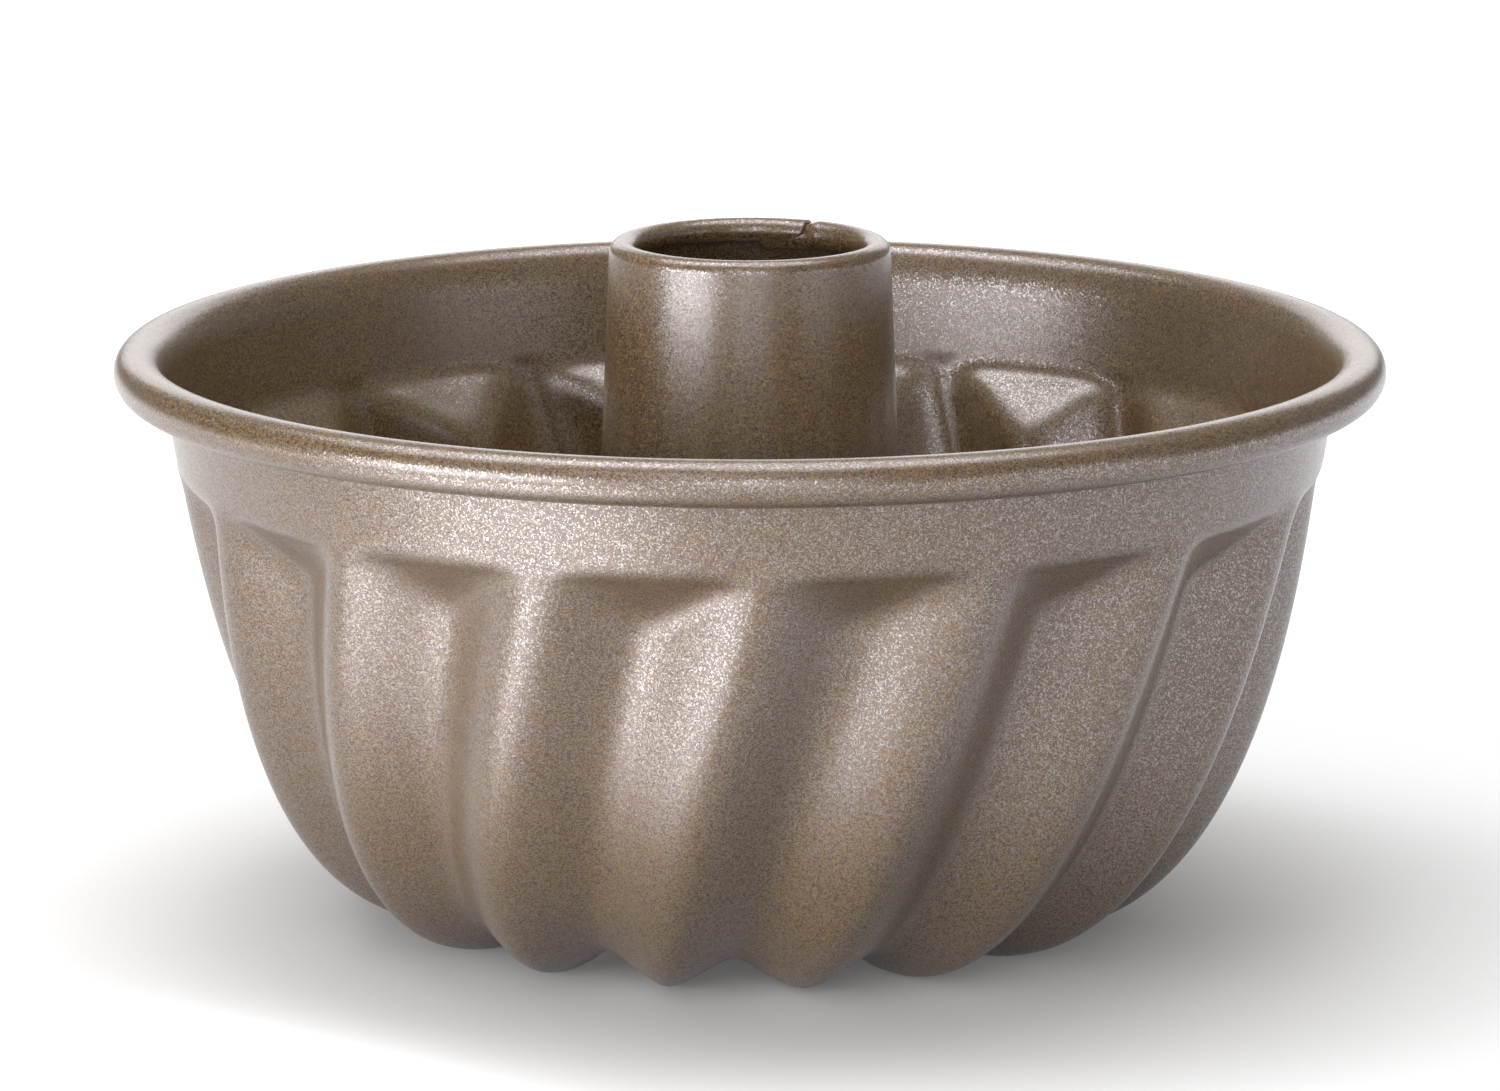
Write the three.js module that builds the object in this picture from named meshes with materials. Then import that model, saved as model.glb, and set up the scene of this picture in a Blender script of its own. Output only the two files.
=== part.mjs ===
// A fluted tube pan in coated steel. The bowl is drawn from one sheet, with swirled flutes and a curled rim.
// The centre tube is rolled from a second sheet, lapped up its back and hooked round the bowl's hole.
// Millimetres, +Z up. The origin lies on the resting plane, on the tube's axis, and the front faces -Y.

import * as THREE from 'three';
import { mergeGeometries, mergeVertices } from 'three/addons/utils/BufferGeometryUtils.js';

const { degToRad, lerp, smoothstep } = THREE.MathUtils;

// Sheet metal
const sheet = 0.5;
const seamGap = 0.3;

// Rim bead and the plain band below it
const rimRadius = 110;
const rimHeight = 101.4;
const beadRadius = 4;
const beadOpening = 1.6;
const beadLean = degToRad(30);
const flareHeight = 2.9;
const flareWidth = 0.6;
const bandHeight = 14.3;
const bandDraft = degToRad(9.4);

// Bowl wall, the ring of lobes that it stands on, and the seat round the tube
const footRadius = 49;
const footFlat = 3;
const seatHeight = 9;
const seatWidth = 2.5;
const shoulderFullness = 0.343;
const haunchFullness = 0.737;
const baseFullness = 0.64;
const seatFullness = 0.42;

// Flutes, which start at a sloping ledge and turn towards -X at the front on their way down
const fluteCount = 16;
const fluteDepthTop = 8.65;
const fluteDepthFoot = 4.85;
const fluteTurn = degToRad(16.9);
const firstRidge = degToRad(1.9);
const ledgeAngle = degToRad(33.4);

// One flute from ridge to ridge, as shares of its pitch and of its depth
const ridgeEdge = 0.05;
const flankBreak = { pitch: 0.17, depth: 0.27 };
const valleyEdge = 0.44;
const fluteSection = [
  { pitch: -ridgeEdge, depth: 0 },
  { pitch: ridgeEdge, depth: 0 },
  flankBreak,
  { pitch: valleyEdge, depth: 1 },
  { pitch: 1 - valleyEdge, depth: 1 },
  { pitch: 1 - flankBreak.pitch, depth: flankBreak.depth },
];

// Centre tube, with angles taken from the front towards +X
const tubeRise = 18.1;
const tubeTopRadius = 24.35;
const tubeFootRadius = 28.6;
const rollRadius = 2.25;
const rollOpening = 3.3;
const lapEdge = degToRad(153);
const lapWidth = degToRad(22);
const joggleWidth = degToRad(9);
const tubeFacets = { plain: 38, joggle: 2, lap: 4 };

// Lock seam: the bowl's hole is turned down as a collar, and the tube's foot hooks round its edge
const collarBend = 0.6;
const collarDepth = 2.5;
const hookRelief = 0.9;

// Sizes that follow from the ones above
const beadCentre = new THREE.Vector2(rimRadius - beadRadius, rimHeight - beadRadius);
const bandTop = new THREE.Vector2(beadCentre.x - beadRadius - flareWidth, beadCentre.y - flareHeight);
const ledge = new THREE.Vector2(bandTop.x - bandHeight * Math.tan(bandDraft), bandTop.y - bandHeight);
const footOuter = new THREE.Vector2(footRadius + footFlat / 2, 0);
const footInner = new THREE.Vector2(footRadius - footFlat / 2, 0);
const collarInside = tubeFootRadius + seamGap;
const collarOutside = collarInside + sheet;
const collarTop = seatHeight - collarBend;
const collarEnd = collarTop - collarDepth;
const seatInner = new THREE.Vector2(collarOutside + collarBend, seatHeight);
const seatOuter = new THREE.Vector2(seatInner.x + seatWidth, seatHeight);

const coatedSteel = { color: 0x6e5f50, roughness: 0.42, metalness: 0.75 };

// Even shares of a curve, without its start
function evenShares(steps) {
  return Array.from({ length: steps }, (_, step) => (step + 1) / steps);
}

// Stations along joined plane curves (radius, height): the place, the normal out of the sheet, the way so far
function stationsAlong(runs) {
  const stations = [];
  let way = 0;
  for (const { curve, shares } of runs) {
    const length = curve.getLength();
    for (const share of shares) {
      const tangent = curve.getTangentAt(share);
      const normal = new THREE.Vector2(-tangent.y, tangent.x);
      stations.push({ place: curve.getPointAt(share), normal, way: way + share * length });
    }
    way += length;
  }
  return stations;
}

// Both skins of the sheet as one closed loop: down the outer skin and back along the inner one
function sheetLoop(stations) {
  const outer = stations.map((station) => ({ ...station, inset: 0 }));
  const inner = stations.map((station) => ({ ...station, inset: sheet }));
  return [...outer, ...inner.reverse()];
}

// A plane point of the loop, sunk along its normal by the sheet and by a further amount
function sunkPoint({ place, normal, inset }, sink) {
  return place.clone().addScaledVector(normal, -inset - sink);
}

// The loop carried round the axis; anglesOf and sinkOf say where each of its points goes at each step
function sweepLoop(loop, steps, anglesOf, sinkOf) {
  const outline = [...loop, loop[0]].map((point) => sunkPoint(point, 0));
  const geometry = new THREE.LatheGeometry(outline.reverse(), steps);
  const ring = [...loop, loop[0]].reverse();
  for (let step = 0; step <= steps; step += 1) {
    ring.forEach((point, index) => {
      const angle = anglesOf(point, step);
      const { x: radius, y: height } = sunkPoint(point, sinkOf(point, step));
      const vertex = step * ring.length + index;
      geometry.attributes.position.setXYZ(vertex, radius * Math.sin(angle), -radius * Math.cos(angle), height);
    });
  }
  return bareGeometry(geometry);
}

// Positions and faces alone
function bareGeometry(geometry) {
  geometry.deleteAttribute('normal');
  geometry.deleteAttribute('uv');
  return geometry;
}

// A flat end for a loop that doesn't close round the axis
function endCap(loop, angle, sink, facesForward) {
  const outline = loop.map((point) => sunkPoint(point, sink));
  const faces = THREE.ShapeUtils.triangulateShape(outline, []);
  const places = outline.flatMap(({ x, y }) => [x * Math.sin(angle), -x * Math.cos(angle), y]);
  const cap = new THREE.BufferGeometry();
  cap.setAttribute('position', new THREE.Float32BufferAttribute(places, 3));
  cap.setIndex(faces.flatMap((face) => (facesForward ? face : [...face].reverse())));
  return cap;
}

function namedMesh(name, geometry) {
  const closed = mergeVertices(geometry);
  closed.computeVertexNormals();
  const mesh = new THREE.Mesh(closed, new THREE.MeshStandardMaterial(coatedSteel));
  mesh.name = name;
  return mesh;
}

// Bowl: its sheet from the bead's free edge, over the rim, down the wall and up to the collar
function flutedBowl() {
  const curlRadius = beadRadius - sheet;
  const freeEdge = Math.asin((beadCentre.x - bandTop.x - beadOpening) / beadRadius);
  const beadStart = 1.5 * Math.PI - freeEdge;
  const beadEnd = 3 * Math.PI - beadLean;
  const bead = new THREE.EllipseCurve(beadCentre.x, beadCentre.y, curlRadius, curlRadius, beadStart, beadEnd);
  const beadFoot = bead.getPoint(1);
  const intoBead = new THREE.Vector2(Math.sin(beadLean), Math.cos(beadLean));
  const upBand = new THREE.Vector2(Math.sin(bandDraft), Math.cos(bandDraft));
  const flareHandle = beadFoot.distanceTo(bandTop) / 3;
  const flare = new THREE.CubicBezierCurve(
    beadFoot,
    beadFoot.clone().addScaledVector(intoBead, -flareHandle),
    bandTop.clone().addScaledVector(upBand, flareHandle),
    bandTop,
  );
  const band = new THREE.LineCurve(bandTop, ledge);
  const haunch = haunchFullness * (ledge.x - footOuter.x);
  const wall = new THREE.CubicBezierCurve(
    ledge,
    ledge.clone().addScaledVector(upBand, -shoulderFullness * ledge.y),
    new THREE.Vector2(footOuter.x + haunch, 0),
    footOuter,
  );
  const foot = new THREE.LineCurve(footOuter, footInner);
  const baseSpan = footInner.x - seatOuter.x;
  const base = new THREE.CubicBezierCurve(
    footInner,
    new THREE.Vector2(footInner.x - baseFullness * baseSpan, 0),
    new THREE.Vector2(seatOuter.x + seatFullness * baseSpan, seatHeight),
    seatOuter,
  );
  const seat = new THREE.LineCurve(seatOuter, seatInner);
  const bend = new THREE.EllipseCurve(
    seatInner.x, collarTop, collarBend, collarBend, Math.PI / 2, Math.PI,
  );
  const collar = new THREE.LineCurve(
    new THREE.Vector2(collarOutside, collarTop),
    new THREE.Vector2(collarOutside, collarEnd),
  );

  // The ledge needs a ring where the flank reaches its depth and one where the valley does
  const wallLength = wall.getLength();
  const ledgeEnd = fluteDepthTop / Math.tan(ledgeAngle) / wallLength;
  const flankEnd = flankBreak.depth * ledgeEnd;
  const belowLedge = evenShares(6).map((share) => lerp(ledgeEnd, 1, share));
  const stations = stationsAlong([
    { curve: bead, shares: [0, ...evenShares(9)] },
    { curve: flare, shares: evenShares(2) },
    { curve: band, shares: [1] },
    { curve: wall, shares: [flankEnd, ledgeEnd, ...belowLedge] },
    { curve: foot, shares: [1] },
    { curve: base, shares: evenShares(4) },
    { curve: seat, shares: [1] },
    { curve: bend, shares: evenShares(2) },
    { curve: collar, shares: [1] },
  ]);

  const ledgeWay = bead.getLength() + flare.getLength() + band.getLength();
  const baseStart = wallLength + footFlat;
  const baseEnd = baseStart + base.getLength();
  const flutedWay = ({ way }) => Math.min(Math.max(way - ledgeWay, 0), baseEnd);
  const sectionAt = (step) => fluteSection[step % fluteSection.length];
  const depthAt = (below) => {
    const wallDepth = lerp(fluteDepthTop, fluteDepthFoot, Math.min(below / wallLength, 1));
    return wallDepth * (1 - smoothstep(below, lerp(baseStart, baseEnd, 0.45), baseEnd));
  };
  const steps = fluteCount * fluteSection.length;
  const pitch = (2 * Math.PI) / fluteCount;
  const anglesOf = (point, step) => {
    const flute = Math.floor((step % steps) / fluteSection.length);
    const turn = fluteTurn * flutedWay(point) / wallLength;
    return firstRidge + pitch * (flute + sectionAt(step).pitch) - turn;
  };
  const sinkOf = (point, step) => {
    const below = flutedWay(point);
    return Math.min(depthAt(below) * sectionAt(step).depth, below * Math.tan(ledgeAngle));
  };
  return namedMesh('fluted_bowl', sweepLoop(sheetLoop(stations), steps, anglesOf, sinkOf));
}

// Tube: its sheet from the free edge of the rolled top, down the cone and round the collar's edge
function centreTube() {
  const rollCentre = new THREE.Vector2(tubeTopRadius - rollRadius, rimHeight + tubeRise - rollRadius);
  const coneFoot = new THREE.Vector2(tubeFootRadius, seatHeight + sheet);
  const toFoot = coneFoot.clone().sub(rollCentre);
  const draft = Math.atan2(toFoot.x, -toFoot.y) - Math.asin(rollRadius / toFoot.length());
  const freeEdge = -Math.acos((rollRadius - sheet - rollOpening) / rollRadius);
  const roll = new THREE.EllipseCurve(
    rollCentre.x, rollCentre.y, rollRadius, rollRadius, freeEdge, draft, true,
  );
  const cone = new THREE.LineCurve(roll.getPoint(1), coneFoot);
  const neck = new THREE.LineCurve(coneFoot, new THREE.Vector2(tubeFootRadius, collarEnd));
  const hookRadius = seamGap + sheet / 2;
  const hookCentre = tubeFootRadius + hookRadius;
  const hook = new THREE.EllipseCurve(hookCentre, collarEnd, hookRadius, hookRadius, Math.PI, 2 * Math.PI);
  const hookEdge = hookCentre + hookRadius;
  const hookEnd = collarEnd + collarDepth - hookRelief;
  const leg = new THREE.LineCurve(
    new THREE.Vector2(hookEdge, collarEnd),
    new THREE.Vector2(hookEdge, hookEnd),
  );
  const loop = sheetLoop(stationsAlong([
    { curve: roll, shares: [0, ...evenShares(8)] },
    { curve: cone, shares: evenShares(3) },
    { curve: neck, shares: [1] },
    { curve: hook, shares: evenShares(4) },
    { curve: leg, shares: [1] },
  ]));

  // The sheet goes once round and on under its own first edge, stepping in by its thickness before the lap
  const lapStart = lapEdge + 2 * Math.PI;
  const joggleStart = lapStart - joggleWidth;
  const lapEnd = lapStart + lapWidth;
  const angles = [
    lapEdge,
    ...evenShares(tubeFacets.plain).map((share) => lerp(lapEdge, joggleStart, share)),
    ...evenShares(tubeFacets.joggle).map((share) => lerp(joggleStart, lapStart, share)),
    ...evenShares(tubeFacets.lap).map((share) => lerp(lapStart, lapEnd, share)),
  ];
  const stepIn = (angle) => (sheet + seamGap) * smoothstep(angle, joggleStart, lapStart);
  const side = sweepLoop(
    loop,
    angles.length - 1,
    (point, step) => angles[step],
    (point, step) => stepIn(angles[step]),
  );
  const outerEnd = endCap(loop, lapEdge, stepIn(lapEdge), true);
  const innerEnd = endCap(loop, lapEnd, stepIn(lapEnd), false);
  return namedMesh('center_tube', mergeGeometries([side, outerEnd, innerEnd]));
}

const pan = new THREE.Group();
pan.name = 'fluted_tube_pan';
pan.add(flutedBowl(), centreTube());

export default pan;
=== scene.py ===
import math

import bpy
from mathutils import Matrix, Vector
from mathutils.geometry import interpolate_bezier


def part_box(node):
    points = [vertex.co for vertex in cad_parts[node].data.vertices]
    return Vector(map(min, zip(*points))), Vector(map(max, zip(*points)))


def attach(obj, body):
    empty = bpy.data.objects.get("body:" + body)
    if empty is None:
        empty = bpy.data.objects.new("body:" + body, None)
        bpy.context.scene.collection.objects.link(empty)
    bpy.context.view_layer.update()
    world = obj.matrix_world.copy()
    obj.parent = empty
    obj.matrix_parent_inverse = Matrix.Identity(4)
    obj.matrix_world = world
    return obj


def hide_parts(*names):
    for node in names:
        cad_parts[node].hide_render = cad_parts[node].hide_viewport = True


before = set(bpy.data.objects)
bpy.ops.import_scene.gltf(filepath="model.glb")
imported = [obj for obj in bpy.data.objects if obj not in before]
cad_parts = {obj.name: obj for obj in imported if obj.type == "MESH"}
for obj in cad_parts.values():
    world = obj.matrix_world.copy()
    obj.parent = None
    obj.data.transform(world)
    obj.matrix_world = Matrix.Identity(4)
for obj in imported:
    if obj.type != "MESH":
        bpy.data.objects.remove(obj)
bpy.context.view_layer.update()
mm = 0.001
fullTurn = 2 * math.pi
midGrey = (0.5, 0.5, 0.5)
bowlLow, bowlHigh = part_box("fluted_bowl")
tubeLow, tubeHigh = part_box("center_tube")
print("frame loaded with", ", ".join(sorted(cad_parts)))

nodeLayout = {
    "perRow": 12,
    "stepAcross": 220,
    "stepDown": -260,
}

meshing = {
    "curveResolution": 48,
    "lengthSamples": 200,
    "mergeDistance": 0.005 * mm,
    "sharpAngle": math.radians(50),
}


# node helpers, used by the geometry trees and the finishes alike

def feed(tree, socket, value):
    if isinstance(value, bpy.types.NodeSocket):
        tree.links.new(value, socket)
    else:
        socket.default_value = value


def addNode(tree, kind, inputs=None, **settings):
    node = tree.nodes.new(kind)
    for name, value in settings.items():
        setattr(node, name, value)
    for name, value in (inputs or {}).items():
        feed(tree, node.inputs[name], value)
    row, column = divmod(len(tree.nodes), nodeLayout["perRow"])
    node.location = (column * nodeLayout["stepAcross"], row * nodeLayout["stepDown"])
    return node


def calc(tree, operation, *values):
    node = addNode(tree, "ShaderNodeMath", operation=operation)
    for socket, value in zip(node.inputs, values):
        feed(tree, socket, value)
    return node.outputs[0]


def smoothRise(tree, value, start, end):  # 0 before start, 1 past end
    ends = {"Value": value, "From Min": start, "From Max": end}
    return addNode(tree, "ShaderNodeMapRange", ends, interpolation_type="SMOOTHSTEP").outputs["Result"]


def blendValues(tree, share, first, last):
    return calc(tree, "ADD", first, calc(tree, "MULTIPLY", share, calc(tree, "SUBTRACT", last, first)))


def newGeometryTree(name, sizes):  # returns the tree and its inputs by name
    tree = bpy.data.node_groups.new(name, "GeometryNodeTree")
    kinds = {"meridian": "NodeSocketObject", "material": "NodeSocketMaterial"}
    for label in sizes:
        kind = kinds.get(label, "NodeSocketInt" if isinstance(sizes[label], int) else "NodeSocketFloat")
        tree.interface.new_socket(label, in_out="INPUT", socket_type=kind)
    tree.interface.new_socket("mesh", in_out="OUTPUT", socket_type="NodeSocketGeometry")
    return tree, tree.nodes.new("NodeGroupInput").outputs


# sections of the two sheets, drawn as Bezier curves with the radius on X and the height on Z

def lineSegment(start, end):
    return start, start.lerp(end, 1 / 3), start.lerp(end, 2 / 3), end


def arcSegments(centre, radius, start, end, pieces):
    step = (end - start) / pieces
    reach = 4 / 3 * math.tan(step / 4) * radius
    segments = []
    for piece in range(pieces):
        ends = []
        for angle, side in ((start + piece * step, 1), (start + (piece + 1) * step, -1)):
            place = centre + radius * Vector((math.cos(angle), 0, math.sin(angle)))
            along = Vector((-math.sin(angle), 0, math.cos(angle)))
            ends.append((place, place + side * reach * along))
        segments.append((ends[0][0], ends[0][1], ends[1][1], ends[1][0]))
    return segments


def wayAlong(segments):
    total = 0
    for start, startHandle, endHandle, end in segments:
        places = interpolate_bezier(start, startHandle, endHandle, end, meshing["lengthSamples"])
        total += sum((b - a).length for a, b in zip(places, places[1:]))
    return total


def drawMeridian(name, segments):
    data = bpy.data.curves.new(name, "CURVE")
    data.dimensions = "3D"
    data.resolution_u = meshing["curveResolution"]
    spline = data.splines.new("BEZIER")
    spline.bezier_points.add(len(segments))
    knots = spline.bezier_points
    for knot in knots:
        knot.handle_left_type = knot.handle_right_type = "FREE"
    for index, (start, startHandle, endHandle, end) in enumerate(segments):
        first, last = knots[index], knots[index + 1]
        first.co, first.handle_right = start, startHandle
        last.co, last.handle_left = end, endHandle
    knots[0].handle_left = knots[0].co
    knots[-1].handle_right = knots[-1].co
    meridian = bpy.data.objects.new(name, data)
    bpy.context.collection.objects.link(meridian)
    return meridian


def bakePiece(name, tree, sizes, sheet):  # runs the tree, gives the skin its thickness, keeps a plain mesh
    piece = bpy.data.objects.new(name, bpy.data.meshes.new(name))
    bpy.context.collection.objects.link(piece)
    nodes = piece.modifiers.new("shape", "NODES")
    nodes.node_group = tree
    for item in tree.interface.items_tree:
        if item.in_out == "INPUT":
            nodes[item.identifier] = sizes[item.name]
    wall = piece.modifiers.new("wall", "SOLIDIFY")
    wall.thickness = sheet
    wall.offset = -1
    wall.use_even_offset = True
    evaluated = piece.evaluated_get(bpy.context.evaluated_depsgraph_get())
    mesh = bpy.data.meshes.new_from_object(evaluated)
    piece.modifiers.clear()
    piece.data = mesh
    mesh.name = name
    mesh.set_sharp_from_angle(angle=meshing["sharpAngle"])
    bpy.data.objects.remove(sizes["meridian"])
    print(name, "has", sum(len(face.vertices) - 2 for face in mesh.polygons), "triangles")
    return piece


def spreadStations(tree, share, knots):  # gives the tight bends more of the stations
    node = addNode(tree, "ShaderNodeFloatCurve", {"Value": share})
    points = node.mapping.curves[0].points
    for place in knots[1:-1]:
        points.new(*place)
    for point in points:
        point.handle_type = "VECTOR"
    node.mapping.update()
    return node.outputs[0]


def sheetGrid(tree, given):  # a flat grid, with the shares round the axis and along the section
    grid = addNode(tree, "GeometryNodeMeshGrid", {"Size X": 1.0, "Size Y": 1.0,
                   "Vertices X": given["stations round"], "Vertices Y": given["stations along"]})
    place = addNode(tree, "GeometryNodeInputPosition").outputs[0]
    flat = addNode(tree, "ShaderNodeSeparateXYZ", {"Vector": place})
    roundShare = calc(tree, "SUBTRACT", 0.5, flat.outputs["X"])
    return grid.outputs["Mesh"], roundShare, calc(tree, "ADD", flat.outputs["Y"], 0.5)


def sampleSection(tree, given, share, setback):  # setback is how much of the section's start is left off
    curve = addNode(tree, "GeometryNodeObjectInfo", {"Object": given["meridian"]}).outputs["Geometry"]
    length = addNode(tree, "GeometryNodeCurveLength", {"Curve": curve}).outputs["Length"]
    way = blendValues(tree, share, setback, length)
    sample = addNode(tree, "GeometryNodeSampleCurve", {"Curves": curve, "Length": way}, mode="LENGTH")
    return way, sample


def placeSheet(tree, mesh, sample, sink, sag, angle, material):  # sinks the section, then carries it round
    spot = addNode(tree, "ShaderNodeSeparateXYZ", {"Vector": sample.outputs["Position"]})
    run = addNode(tree, "ShaderNodeSeparateXYZ", {"Vector": sample.outputs["Tangent"]})
    radius = calc(tree, "ADD", spot.outputs["X"], calc(tree, "MULTIPLY", run.outputs["Z"], sink))
    height = calc(tree, "SUBTRACT", spot.outputs["Z"], calc(tree, "MULTIPLY", run.outputs["X"], sink))
    height = calc(tree, "SUBTRACT", height, sag)
    across = calc(tree, "MULTIPLY", radius, calc(tree, "SINE", angle))
    depth = calc(tree, "MULTIPLY", calc(tree, "MULTIPLY", radius, calc(tree, "COSINE", angle)), -1.0)
    spot = addNode(tree, "ShaderNodeCombineXYZ", {"X": across, "Y": depth, "Z": height}).outputs[0]
    mesh = addNode(tree, "GeometryNodeSetPosition", {"Geometry": mesh, "Position": spot}).outputs[0]
    near = {"Geometry": mesh, "Distance": meshing["mergeDistance"]}
    mesh = addNode(tree, "GeometryNodeMergeByDistance", near).outputs[0]
    mesh = addNode(tree, "GeometryNodeSetShadeSmooth", {"Geometry": mesh}).outputs[0]
    mesh = addNode(tree, "GeometryNodeRealizeInstances", {"Geometry": mesh}).outputs[0]
    mesh = addNode(tree, "GeometryNodeSetMaterial", {"Geometry": mesh, "Material": material}).outputs[0]
    tree.links.new(mesh, addNode(tree, "NodeGroupOutput").inputs["mesh"])


# finish: a grainy brown binder with bright metal flakes, each grain tilted a little, under a thin clear film

coating = {
    "darkGrain": (0.054, 0.015, 0.0, 1),
    "lightGrain": (0.302, 0.204, 0.090, 1),
    "flake": (0.325, 0.297, 0.285, 1),
    "grainSize": 0.21 * mm,
    "grainTilt": 0.12,
    "flakeShare": 0.19,
    "ior": 1.88,
    "glossTint": (0.89, 0.88, 1.0, 1),
    "roughness": 0.31,
    "roughnessSpread": 0.08,
    "cloudSize": 14 * mm,
    "cloudDetail": 4.0,
    "cloudStrength": 0.15,
    "filmWeight": 0.30,
    "filmRoughness": 0.24,
}


def blendColours(tree, share, first, last):
    node = addNode(tree, "ShaderNodeMix", {"Factor": share}, data_type="RGBA")
    sockets = [socket for socket in node.inputs if socket.type == "RGBA"]
    for socket, colour in zip(sockets, (first, last)):
        feed(tree, socket, colour)
    return next(socket for socket in node.outputs if socket.type == "RGBA")


def vectorCalc(tree, operation, first, second):
    node = addNode(tree, "ShaderNodeVectorMath", operation=operation)
    feed(tree, node.inputs[0], first)
    feed(tree, node.inputs["Scale" if operation == "SCALE" else 1], second)
    return node.outputs["Vector"]


def coatingMaterial(name, look):
    material = bpy.data.materials.new(name)
    material.use_nodes = True
    tree = material.node_tree
    shader = tree.nodes["Principled BSDF"]
    place = addNode(tree, "ShaderNodeTexCoord").outputs["Object"]
    cells = addNode(tree, "ShaderNodeTexVoronoi", {"Vector": place, "Scale": 1 / look["grainSize"]})
    grains = cells.outputs["Color"]
    chance = addNode(tree, "ShaderNodeSeparateColor", {"Color": grains}).outputs
    cloudInputs = {"Vector": place, "Scale": 1 / look["cloudSize"], "Detail": look["cloudDetail"]}
    cloud = addNode(tree, "ShaderNodeTexNoise", cloudInputs)
    drift = calc(tree, "MULTIPLY", calc(tree, "SUBTRACT", cloud.outputs["Fac"], 0.5), look["cloudStrength"])
    tone = calc(tree, "ADD", chance["Red"], drift)
    brown = blendColours(tree, tone, look["darkGrain"], look["lightGrain"])
    isFlake = calc(tree, "LESS_THAN", chance["Blue"], look["flakeShare"])
    tree.links.new(blendColours(tree, isFlake, brown, look["flake"]), shader.inputs["Base Color"])
    tree.links.new(isFlake, shader.inputs["Metallic"])
    uneven = calc(tree, "MULTIPLY", calc(tree, "SUBTRACT", chance["Green"], 0.5), look["roughnessSpread"])
    tree.links.new(calc(tree, "ADD", uneven, look["roughness"]), shader.inputs["Roughness"])
    facing = addNode(tree, "ShaderNodeNewGeometry").outputs["Normal"]
    lean = vectorCalc(tree, "SCALE", vectorCalc(tree, "SUBTRACT", grains, midGrey), look["grainTilt"])
    tilted = addNode(tree, "ShaderNodeVectorMath", operation="NORMALIZE")
    feed(tree, tilted.inputs[0], vectorCalc(tree, "ADD", facing, lean))
    tree.links.new(tilted.outputs["Vector"], shader.inputs["Normal"])
    shader.inputs["IOR"].default_value = look["ior"]
    shader.inputs["Specular Tint"].default_value = look["glossTint"]
    shader.inputs["Coat Weight"].default_value = look["filmWeight"]
    shader.inputs["Coat Roughness"].default_value = look["filmRoughness"]
    return material


# bowl: one drawn sheet, from the bead's free edge over the rim, down the flutes and up to the collar

bowl = {
    "rimRadius": bowlHigh.x,
    "rimHeight": bowlHigh.z,
    "sheet": 0.5 * mm,
    "beadRadius": 4 * mm,
    "beadOpening": 1.6 * mm,
    "beadLean": math.radians(30),
    "flareHeight": 2.9 * mm,
    "flareWidth": 0.6 * mm,
    "bandHeight": 14.3 * mm,
    "bandDraft": math.radians(9.4),
    "footRadius": 49 * mm,
    "footFlat": 3 * mm,
    "seatHeight": 9 * mm,
    "seatWidth": 2.5 * mm,
    "shoulderFullness": 0.343,
    "haunchFullness": 0.737,
    "baseFullness": 0.64,
    "seatFullness": 0.42,
    "collarBend": 0.6 * mm,
    "collarDepth": 2.5 * mm,
    "stationSpread": [(0, 0), (0.24, 0.11), (0.33, 0.197), (0.47, 0.236),
                      (0.6, 0.31), (0.915, 0.93), (1, 1)],
}

flutes = {
    "stations round": 16 * 21 + 1,
    "stations along": 142,
    "flute count": 16,
    "first ridge": math.radians(1.9),
    "turn": math.radians(16.9),
    "depth at ledge": 8.65 * mm,
    "depth at foot": 4.85 * mm,
    "sharpness at ledge": 0.62,
    "sharpness at foot": 0.86,
    "ledge slope": 0.80,
    "ledge softness": 1.8 * mm,
    "valley softness": 5.0 * mm,
    "lead in": 3.0 * mm,
    "fade start": 0.45,
}

seam = {
    "gap": 0.3 * mm,
    "tubeFootRadius": 28.6 * mm,
    "hookRelief": 0.9 * mm,
}


def polar(angle):  # unit vector in the section, from straight up towards the outside
    return Vector((math.sin(angle), 0, math.cos(angle)))


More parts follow.
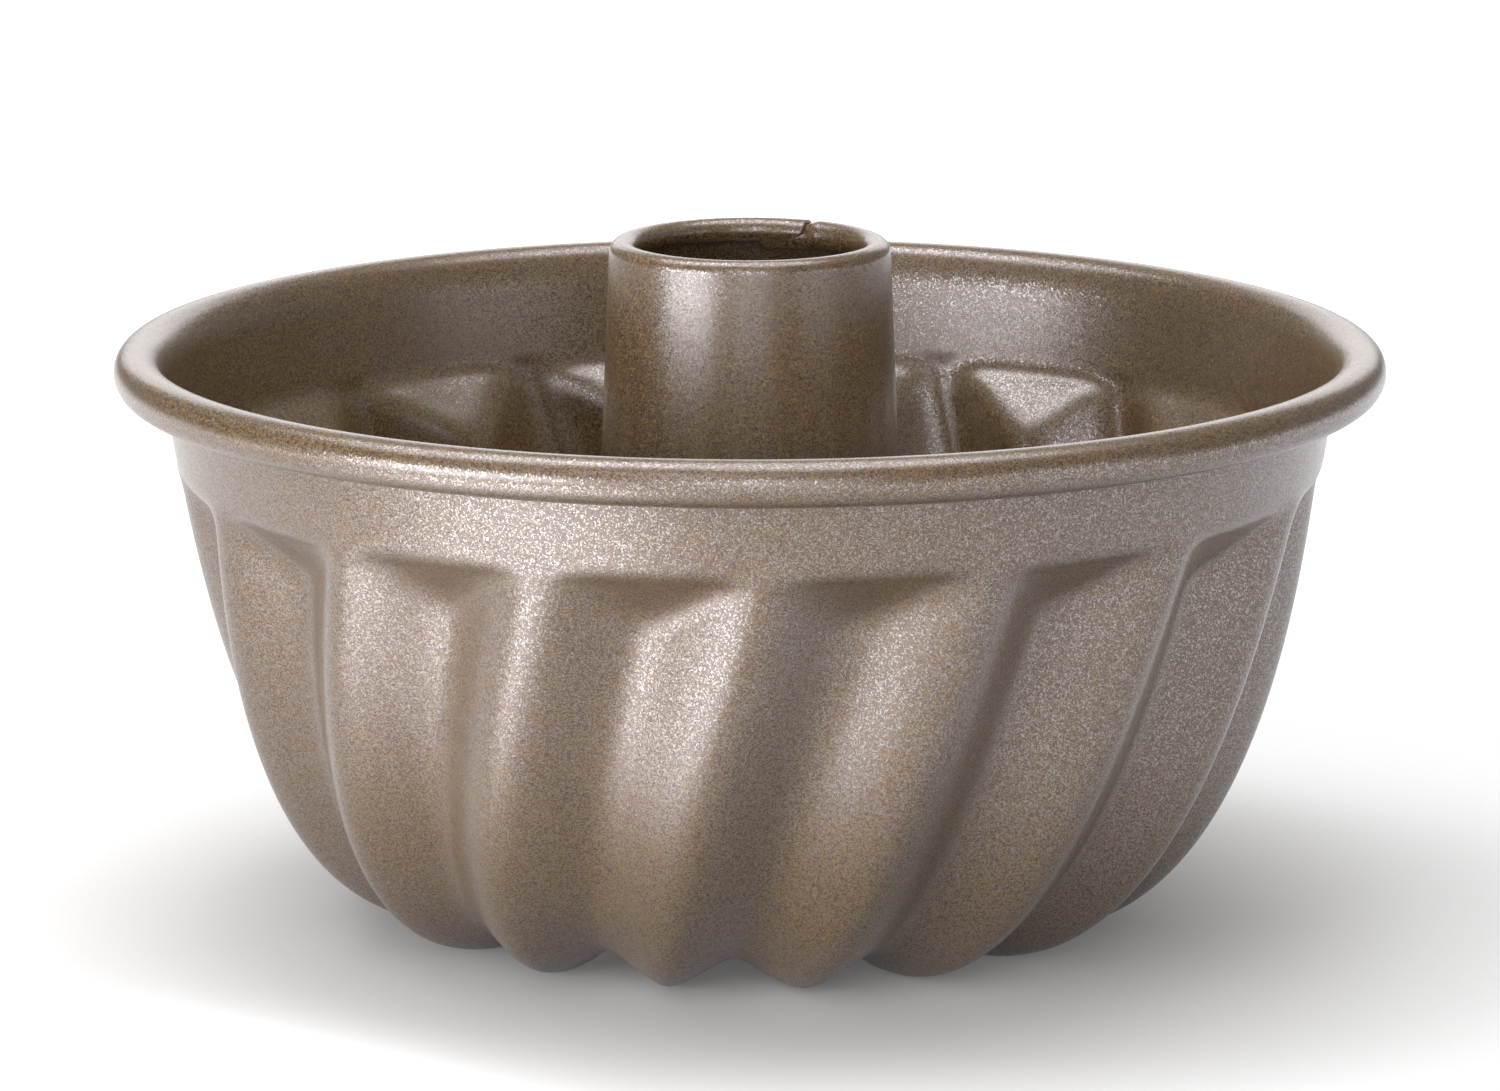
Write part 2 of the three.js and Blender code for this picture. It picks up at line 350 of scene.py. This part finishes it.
def bowlSection(size):
    bead = Vector((size["rimRadius"] - size["beadRadius"], 0, size["rimHeight"] - size["beadRadius"]))
    curl = size["beadRadius"] - size["sheet"]
    bandTop = bead - Vector((size["beadRadius"] + size["flareWidth"], 0, size["flareHeight"]))
    ledge = bandTop - polar(size["bandDraft"]) * size["bandHeight"] / math.cos(size["bandDraft"])
    edge = math.asin((bead.x - bandTop.x - size["beadOpening"]) / size["beadRadius"])
    rim = arcSegments(bead, curl, 1.5 * math.pi - edge, 3 * math.pi - size["beadLean"], 5)
    flareTop = rim[-1][3]
    reach = (flareTop - bandTop).length / 3
    flare = (flareTop, flareTop - polar(size["beadLean"]) * reach,
             bandTop + polar(size["bandDraft"]) * reach, bandTop)
    footOuter = Vector((size["footRadius"] + size["footFlat"] / 2, 0, 0))
    footInner = Vector((size["footRadius"] - size["footFlat"] / 2, 0, 0))
    shoulder = ledge - polar(size["bandDraft"]) * size["shoulderFullness"] * ledge.z
    haunch = footOuter + Vector((size["haunchFullness"] * (ledge.x - footOuter.x), 0, 0))
    wall = (ledge, shoulder, haunch, footOuter)
    collarRadius = seam["tubeFootRadius"] + seam["gap"] + size["sheet"]
    seatInner = Vector((collarRadius + size["collarBend"], 0, size["seatHeight"]))
    seatOuter = seatInner + Vector((size["seatWidth"], 0, 0))
    span = footInner.x - seatOuter.x
    base = (footInner, footInner - Vector((size["baseFullness"] * span, 0, 0)),
            seatOuter + Vector((size["seatFullness"] * span, 0, 0)), seatOuter)
    bendCentre = seatInner - Vector((0, 0, size["collarBend"]))
    bend = arcSegments(bendCentre, size["collarBend"], math.pi / 2, math.pi, 1)
    collarTop = bend[-1][3]
    collar = lineSegment(collarTop, collarTop - Vector((0, 0, size["collarDepth"])))
    top = [*rim, flare, lineSegment(bandTop, ledge)]
    low = [lineSegment(seatOuter, seatInner), *bend, collar]
    ways = {
        "ledge way": wayAlong(top),
        "wall length": wayAlong([wall]),
        "base start": wayAlong([wall]) + size["footFlat"],
        "base end": wayAlong([wall]) + size["footFlat"] + wayAlong([base]),
    }
    return drawMeridian("bowlMeridian", [*top, wall, lineSegment(footOuter, footInner), base, *low]), ways


def bowlTree(sizes):
    tree, given = newGeometryTree("flutedBowl", sizes)
    mesh, share, along = sheetGrid(tree, given)
    way, sample = sampleSection(tree, given, spreadStations(tree, along, bowl["stationSpread"]), 0.0)
    past = calc(tree, "SUBTRACT", way, given["ledge way"])
    below = calc(tree, "MINIMUM", calc(tree, "MAXIMUM", past, 0.0), given["base end"])
    run = calc(tree, "DIVIDE", below, given["wall length"])
    runDown = calc(tree, "MINIMUM", run, 1.0)
    # one flute from ridge to ridge: a rounded zigzag, 0 on the ridge and 1 in the valley
    phase = calc(tree, "MULTIPLY", calc(tree, "MULTIPLY", share, given["flute count"]), fullTurn)
    sharpness = blendValues(tree, runDown, given["sharpness at ledge"], given["sharpness at foot"])
    swing = calc(tree, "ARCSINE", calc(tree, "MULTIPLY", sharpness, calc(tree, "COSINE", phase)))
    half = calc(tree, "DIVIDE", swing, calc(tree, "MULTIPLY", calc(tree, "ARCSINE", sharpness), 2.0))
    zigzag = calc(tree, "SUBTRACT", 0.5, half)
    depth = blendValues(tree, runDown, given["depth at ledge"], given["depth at foot"])
    fadeStart = blendValues(tree, given["fade start"], given["base start"], given["base end"])
    stays = calc(tree, "SUBTRACT", 1.0, smoothRise(tree, below, fadeStart, given["base end"]))
    valley = calc(tree, "MULTIPLY", calc(tree, "MULTIPLY", depth, stays), zigzag)
    # the sloping ledge caps how deep a flute may be just below the plain band
    slope = calc(tree, "MULTIPLY", past, given["ledge slope"])
    soft = calc(tree, "MULTIPLY", given["ledge softness"], given["ledge softness"])
    root = calc(tree, "SQRT", calc(tree, "ADD", calc(tree, "MULTIPLY", slope, slope), soft))
    ledge = calc(tree, "MULTIPLY", calc(tree, "ADD", slope, root), 0.5)
    capped = calc(tree, "SMOOTH_MIN", valley, ledge, given["valley softness"])
    before = calc(tree, "SUBTRACT", 0.0, given["lead in"])
    sink = calc(tree, "MULTIPLY", capped, smoothRise(tree, past, before, given["lead in"]))
    around = calc(tree, "ADD", calc(tree, "MULTIPLY", share, fullTurn), given["first ridge"])
    angle = calc(tree, "SUBTRACT", around, calc(tree, "MULTIPLY", run, given["turn"]))
    placeSheet(tree, mesh, sample, sink, 0.0, angle, given["material"])
    return tree


bowlFinish = coatingMaterial("bowlCoating", coating)
bowlMeridian, bowlWays = bowlSection(bowl)
bowlSizes = {**flutes, **bowlWays, "meridian": bowlMeridian, "material": bowlFinish}
flutedBowl = bakePiece("flutedBowl", bowlTree(bowlSizes), bowlSizes, bowl["sheet"])
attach(flutedBowl, "root")
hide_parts("fluted_bowl")


# tube: a second sheet, from the free edge of its rolled top down the cone and round the collar's edge

tube = {
    "topRadius": 24.35 * mm,
    "topHeight": tubeHigh.z,
    "rollRadius": 2.25 * mm,
    "freeEdge": math.radians(237),
    "sheet": 0.5 * mm,
    "stationSpread": [(0, 0), (0.40, 0.08), (0.62, 0.92), (1, 1)],
    "roundSpread": [(0, 0), (0.08, 0.02), (0.76, 0.88), (1, 1)],
}

lap = {
    "stations round": 250,
    "stations along": 110,
    "lap edge": math.radians(153),
    "lap width": math.radians(22),
    "joggle width": math.radians(7),
    "step in": 0.6 * mm,
    "edge radius": 20.6 * mm,
    "edge trim": 0.4 * mm,
    "outer rise": 1.5 * mm,
    "outer rise width": math.radians(20),
    "outer corner": 1.5 * mm,
    "tongue taper": 0.3 * mm,
    "tongue tip": 1.2 * mm,
    "inner sag": 0.8 * mm,
    "inner sag start": math.radians(-75),
    "inner sag end": math.radians(-25),
    "tongue sag": 0.7 * mm,
    "roll way": 5.1 * mm,
}


def tubeSection(size):
    roll = Vector((size["topRadius"] - size["rollRadius"], 0, size["topHeight"] - size["rollRadius"]))
    foot = Vector((seam["tubeFootRadius"], 0, bowl["seatHeight"] + bowl["sheet"]))
    toFoot = foot - roll
    draft = math.atan2(toFoot.x, -toFoot.z) - math.asin(size["rollRadius"] / toFoot.length)
    top = arcSegments(roll, size["rollRadius"], size["freeEdge"], draft, 4)
    collarEnd = bowl["seatHeight"] - bowl["collarBend"] - bowl["collarDepth"]
    hookRadius = seam["gap"] + bowl["sheet"] / 2
    neckEnd = Vector((foot.x, 0, collarEnd))
    hook = arcSegments(neckEnd + Vector((hookRadius, 0, 0)), hookRadius, math.pi, fullTurn, 2)
    legStart = hook[-1][3]
    leg = lineSegment(legStart, legStart + Vector((0, 0, bowl["collarDepth"] - seam["hookRelief"])))
    sides = [lineSegment(top[-1][3], foot), lineSegment(foot, neckEnd)]
    return drawMeridian("tubeMeridian", [*top, *sides, *hook, leg])


def roundedEnd(tree, distance, radius):  # what a round corner takes off at this distance from the end
    short = calc(tree, "MAXIMUM", calc(tree, "SUBTRACT", radius, distance), 0.0)
    square = calc(tree, "MULTIPLY", radius, radius)
    left = calc(tree, "SUBTRACT", square, calc(tree, "MULTIPLY", short, short))
    return calc(tree, "SUBTRACT", radius, calc(tree, "SQRT", calc(tree, "MAXIMUM", left, 0.0)))


def freeEdge(tree, given, turned, sweep, nearLap):  # how far the roll's edge is cut back, round the tube
    fromOuter = calc(tree, "MULTIPLY", turned, given["edge radius"])
    toInner = calc(tree, "MULTIPLY", calc(tree, "SUBTRACT", sweep, turned), given["edge radius"])
    settled = smoothRise(tree, turned, 0.0, given["outer rise width"])
    rise = calc(tree, "MULTIPLY", calc(tree, "SUBTRACT", 1.0, settled), given["outer rise"])
    plain = calc(tree, "MULTIPLY", calc(tree, "SUBTRACT", 1.0, nearLap), given["edge trim"])
    under = calc(tree, "DIVIDE", calc(tree, "SUBTRACT", turned, fullTurn), given["lap width"])
    taper = calc(tree, "MULTIPLY", calc(tree, "MAXIMUM", under, 0.0), given["tongue taper"])
    corner = roundedEnd(tree, fromOuter, given["outer corner"])
    tip = roundedEnd(tree, toInner, given["tongue tip"])
    trims = (rise, plain, taper, corner, tip)
    total = trims[0]
    for trim in trims[1:]:
        total = calc(tree, "ADD", total, trim)
    return total


def tubeTree(sizes):
    tree, given = newGeometryTree("lappedTube", sizes)
    mesh, share, along = sheetGrid(tree, given)
    sweep = calc(tree, "ADD", given["lap width"], fullTurn)
    turned = calc(tree, "MULTIPLY", spreadStations(tree, share, tube["roundSpread"]), sweep)
    sagStart = calc(tree, "ADD", given["inner sag start"], fullTurn)
    nearLap = smoothRise(tree, turned, sagStart, calc(tree, "ADD", given["inner sag end"], fullTurn))
    setback = freeEdge(tree, given, turned, sweep, nearLap)
    way, sample = sampleSection(tree, given, spreadStations(tree, along, tube["stationSpread"]), setback)
    joggleStart = calc(tree, "SUBTRACT", fullTurn, given["joggle width"])
    lapped = smoothRise(tree, turned, joggleStart, fullTurn)
    sink = calc(tree, "MULTIPLY", lapped, given["step in"])
    curled = calc(tree, "SUBTRACT", 1.0, smoothRise(tree, way, 0.0, given["roll way"]))
    innerSag = calc(tree, "MULTIPLY", nearLap, given["inner sag"])
    tongueSag = calc(tree, "MULTIPLY", lapped, given["tongue sag"])
    sag = calc(tree, "MULTIPLY", curled, calc(tree, "ADD", innerSag, tongueSag))
    angle = calc(tree, "ADD", turned, given["lap edge"])
    placeSheet(tree, mesh, sample, sink, sag, angle, given["material"])
    return tree


tubeFinish = coatingMaterial("tubeCoating", coating)
tubeSizes = {**lap, "meridian": tubeSection(tube), "material": tubeFinish}
centreTube = bakePiece("centreTube", tubeTree(tubeSizes), tubeSizes, tube["sheet"])
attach(centreTube, "root")
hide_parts("center_tube")


# studio: pale floor, painted darker round the pan as a shadow, soft boxes, one floor spot and the camera

floorPaper = {
    "size": 8,
    "below": 0.05 * mm,
    "bounce": (0.15, 0.15, 0.15, 1),
    # the floor's colour is darker near the pan: a painted shadow round its foot
    "nearPaintedShade": (0.75, 0.75, 0.75, 1),
    "farShade": (0.95, 0.95, 0.95, 1),
    "shadeStart": 0.06,
    "shadeEnd": 0.13,
    # the floor's glow is weaker near the pan: painted shade round it, which the pan's lower flutes also show
    # as a darker reflection
    "nearGlow": 0.08,
    "farGlow": 0.62,
    "glowStart": 0.17,
    "glowEnd": 0.55,
}

room = {
    "colour": (1, 1, 1, 1),
    "level": 0.24,
}

# each lamp: where it hangs, what it faces, width, height, brightness
lamps = {
    "keyBox": ((-0.651, -0.546, 0.13), (0, 0, 0.09), 0.62, 0.29, 8.6),
    "frontBox": ((0, -0.970, 0.307), (0, 0, 0.065), 0.5, 0.5, 2.8),
    "rightBox": ((0.82, -0.57, 0.18), (0, 0, 0.08), 0.5, 0.25, 1.3),
    "frontPool": ((-0.142, -0.531, 0.5), (-0.142, -0.531, 0), 0.3, 0.3, 1.3),
    "backBox": ((0, 1.2, 0.5), (0, 0, 0.07), 1.2, 0.6, 1.7),
    "leftHigh": ((-0.458, 0.081, 1.062), (0, 0, 0.065), 0.6, 0.6, 3.4),
    "topBox": ((0.1, 0.1, 1.3), (0, 0, 0.065), 0.9, 0.9, 3.0),
}

# one snooted lamp, over the floor in front of the pan's left side
floorSpot = {
    "place": (-0.148, -0.190, 0.7),
    "poolRadius": 0.13,
    "brightness": 70,
    "bulbRadius": 0.03,
}


def softBox(name, place, aim, width, height, brightness):
    data = bpy.data.lights.new(name, "AREA")
    data.shape = "RECTANGLE"
    data.size = width
    data.size_y = height
    data.energy = brightness * math.pi * width * height
    lamp = bpy.data.objects.new(name, data)
    lamp.location = place
    lamp.rotation_euler = (Vector(place) - Vector(aim)).to_track_quat("Z", "Y").to_euler()
    lamp.visible_camera = False
    bpy.context.collection.objects.link(lamp)


def snootedLamp(name, spot):
    data = bpy.data.lights.new(name, "SPOT")
    data.energy = spot["brightness"]
    data.spot_size = 2 * math.atan(spot["poolRadius"] / spot["place"][2])
    data.spot_blend = 1
    data.shadow_soft_size = spot["bulbRadius"]
    lamp = bpy.data.objects.new(name, data)
    lamp.location = spot["place"]
    lamp.visible_camera = False
    bpy.context.collection.objects.link(lamp)


def makeFloor(paper):
    half = paper["size"] / 2
    mesh = bpy.data.meshes.new("floor")
    corners = [(x * half, y * half, -paper["below"]) for x, y in ((-1, -1), (1, -1), (1, 1), (-1, 1))]
    mesh.from_pydata(corners, [], [(0, 1, 2, 3)])
    material = bpy.data.materials.new("floorPaper")
    material.use_nodes = True
    tree = material.node_tree
    ray = addNode(tree, "ShaderNodeLightPath").outputs
    seen = calc(tree, "MAXIMUM", ray["Is Camera Ray"], ray["Is Glossy Ray"])
    seen = calc(tree, "MAXIMUM", seen, ray["Is Transmission Ray"])
    dull = addNode(tree, "ShaderNodeBsdfDiffuse", {"Color": paper["bounce"]}).outputs[0]
    place = addNode(tree, "ShaderNodeTexCoord").outputs["Object"]
    away = addNode(tree, "ShaderNodeVectorMath", {"Vector": place}, operation="LENGTH").outputs["Value"]
    # the floor colour darkens towards the pan: painted shadow round its foot
    clear = smoothRise(tree, away, paper["shadeStart"], paper["shadeEnd"])
    tone = blendColours(tree, clear, paper["nearPaintedShade"], paper["farShade"])
    shade = addNode(tree, "ShaderNodeBsdfDiffuse", {"Color": tone}).outputs[0]
    # the glow fades towards the pan: painted shade, which the pan also reflects
    far = smoothRise(tree, away, paper["glowStart"], paper["glowEnd"])
    strength = blendValues(tree, far, paper["nearGlow"], paper["farGlow"])
    glow = addNode(tree, "ShaderNodeEmission", {"Strength": strength}).outputs[0]
    white = addNode(tree, "ShaderNodeAddShader")
    tree.links.new(shade, white.inputs[0])
    tree.links.new(glow, white.inputs[1])
    mix = addNode(tree, "ShaderNodeMixShader", {"Fac": seen})
    tree.links.new(dull, mix.inputs[1])
    tree.links.new(white.outputs[0], mix.inputs[2])
    tree.links.new(mix.outputs[0], tree.nodes["Material Output"].inputs["Surface"])
    tree.nodes.remove(tree.nodes["Principled BSDF"])
    mesh.materials.append(material)
    floor = bpy.data.objects.new("floor", mesh)
    bpy.context.collection.objects.link(floor)
    return floor


def makeWorld(sky):
    world = bpy.data.worlds.new("room")
    world.use_nodes = True
    background = world.node_tree.nodes["Background"]
    background.inputs["Color"].default_value = sky["colour"]
    background.inputs["Strength"].default_value = sky["level"]
    bpy.context.scene.world = world


view = {
    "distance": 1.6,
    "elevation": math.radians(11.62),
    "aimBelowRim": 35.94 * mm,
    "focalPixels": 9208,
    "imageWidth": 1500,
    "sensorWidth": 36,
    "farClip": 20,
}

aim = Vector((0, 0, bowlHigh.z - view["aimBelowRim"]))
back = Vector((0, -math.cos(view["elevation"]), math.sin(view["elevation"])))
lens = bpy.data.cameras.new("camera")
lens.sensor_width = view["sensorWidth"]
lens.lens = view["focalPixels"] / view["imageWidth"] * view["sensorWidth"]
lens.clip_end = view["farClip"]
camera = bpy.data.objects.new("camera", lens)
camera.location = aim + back * view["distance"]
camera.rotation_euler = (-back).to_track_quat("-Z", "Y").to_euler()
bpy.context.collection.objects.link(camera)
bpy.context.scene.camera = camera
bpy.context.scene.view_settings.view_transform = "Standard"
makeFloor(floorPaper)
makeWorld(room)
for lampName, setting in lamps.items():
    softBox(lampName, *setting)
snootedLamp("floorSpot", floorSpot)
print("studio set")
